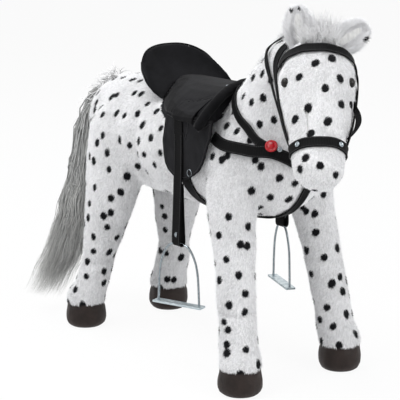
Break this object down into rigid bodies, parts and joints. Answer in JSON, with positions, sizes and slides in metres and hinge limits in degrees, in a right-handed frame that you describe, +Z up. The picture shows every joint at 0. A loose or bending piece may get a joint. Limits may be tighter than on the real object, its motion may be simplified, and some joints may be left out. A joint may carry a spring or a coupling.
{
  "type": "plush ride-on animal",
  "caption": "Standing plush ride-on horse, white with black spots, with a cloth saddle, webbing bridle and swinging steel stirrups",
  "frame": {"origin": "on the floor under the middle of the horse's overall length and width", "axes": "+X forward to the horse's nose, +Y to its left, +Z up"},
  "size_m": [0.9376, 0.339, 0.7455],
  "materials": {
    "black_eye_plastic": "glossy black",
    "black_painted_steel": "black painted steel tube",
    "black_suede_cloth": "black suede-like cloth, matt",
    "black_webbing": "black woven webbing",
    "brown_vinyl": "dark brown soft vinyl, satin",
    "grey_foot_plug": "grey moulded plastic",
    "grey_hair": "long grey-white synthetic hair",
    "red_gloss_plastic": "glossy red",
    "white_plush": "short-pile white plush with black spots",
    "zinc_plated_steel": "bright plated steel"
  },
  "bodies": {
    "horse": {"body_plush": "white_plush", "breast_strap_left": "black_webbing", "breast_strap_right": "black_webbing", "breastplate_rivet_left": "zinc_plated_steel", "breastplate_rivet_right": "zinc_plated_steel", "browband": "black_webbing", "chest_strap": "black_webbing", "crown_strap": "black_webbing", "ear_left": "white_plush", "ear_right": "white_plush", "eye_left": "black_eye_plastic", "eye_right": "black_eye_plastic", "foot_plug_front_left": "grey_foot_plug", "foot_plug_front_right": "grey_foot_plug", "foot_plug_hind_left": "grey_foot_plug", "foot_plug_hind_right": "grey_foot_plug", "forelock": "grey_hair", "frame_front_bow": "black_painted_steel", "frame_neck": "black_painted_steel", "frame_rear_bow": "black_painted_steel", "frame_spine": "black_painted_steel", "front_leg_left": "white_plush", "front_leg_right": "white_plush", "girth": "black_webbing", "girth_ring_left": "zinc_plated_steel", "girth_ring_right": "zinc_plated_steel", "head_plush": "white_plush", "hind_leg_left": "white_plush", "hind_leg_right": "white_plush", "hoof_cover_front_left": "brown_vinyl", "hoof_cover_front_right": "brown_vinyl", "hoof_cover_hind_left": "brown_vinyl", "hoof_cover_hind_right": "brown_vinyl", "mane": "white_plush", "neck_plush": "white_plush", "neck_strap_left": "black_webbing", "neck_strap_right": "black_webbing", "noseband": "black_webbing", "noseband_rivet_left": "zinc_plated_steel", "noseband_rivet_right": "zinc_plated_steel", "rein": "black_webbing", "round_disc": "red_gloss_plastic", "saddle_cantle": "black_suede_cloth", "saddle_flap_left": "black_suede_cloth", "saddle_flap_right": "black_suede_cloth", "saddle_front_roll": "black_suede_cloth", "saddle_ring": "zinc_plated_steel", "saddle_seat": "black_suede_cloth", "saddle_skirt_left": "black_suede_cloth", "saddle_skirt_right": "black_suede_cloth", "tail": "grey_hair"},
    "stirrup_leather_right": {"stirrup_strap_right": "black_webbing", "strap_snap_right": "zinc_plated_steel"},
    "stirrup_right": {"stirrup_iron_right": "zinc_plated_steel", "stirrup_tread_right": "zinc_plated_steel"},
    "stirrup_leather_left": {"stirrup_strap_left": "black_webbing", "strap_snap_left": "zinc_plated_steel"},
    "stirrup_left": {"stirrup_iron_left": "zinc_plated_steel", "stirrup_tread_left": "zinc_plated_steel"}
  },
  "joints": [
    {"name": "strap_swing_right", "type": "hinge", "parent": "horse", "child": "stirrup_leather_right", "pos_m": [0.03849, -0.13185, 0.497], "axis": [0, 1, 0], "range_deg": [-6, 30]},
    {"name": "stirrup_swing_right", "type": "hinge", "parent": "stirrup_leather_right", "child": "stirrup_right", "pos_m": [0.03849, -0.13185, 0.25575], "axis": [0.9397, 0.342, 0], "range_deg": [-60, 60]},
    {"name": "strap_swing_left", "type": "hinge", "parent": "horse", "child": "stirrup_leather_left", "pos_m": [0.03849, 0.13185, 0.497], "axis": [0, 1, 0], "range_deg": [-6, 30]},
    {"name": "stirrup_swing_left", "type": "hinge", "parent": "stirrup_leather_left", "child": "stirrup_left", "pos_m": [0.03849, 0.13185, 0.25575], "axis": [0.9397, -0.342, 0], "range_deg": [-60, 60]}
  ]
}
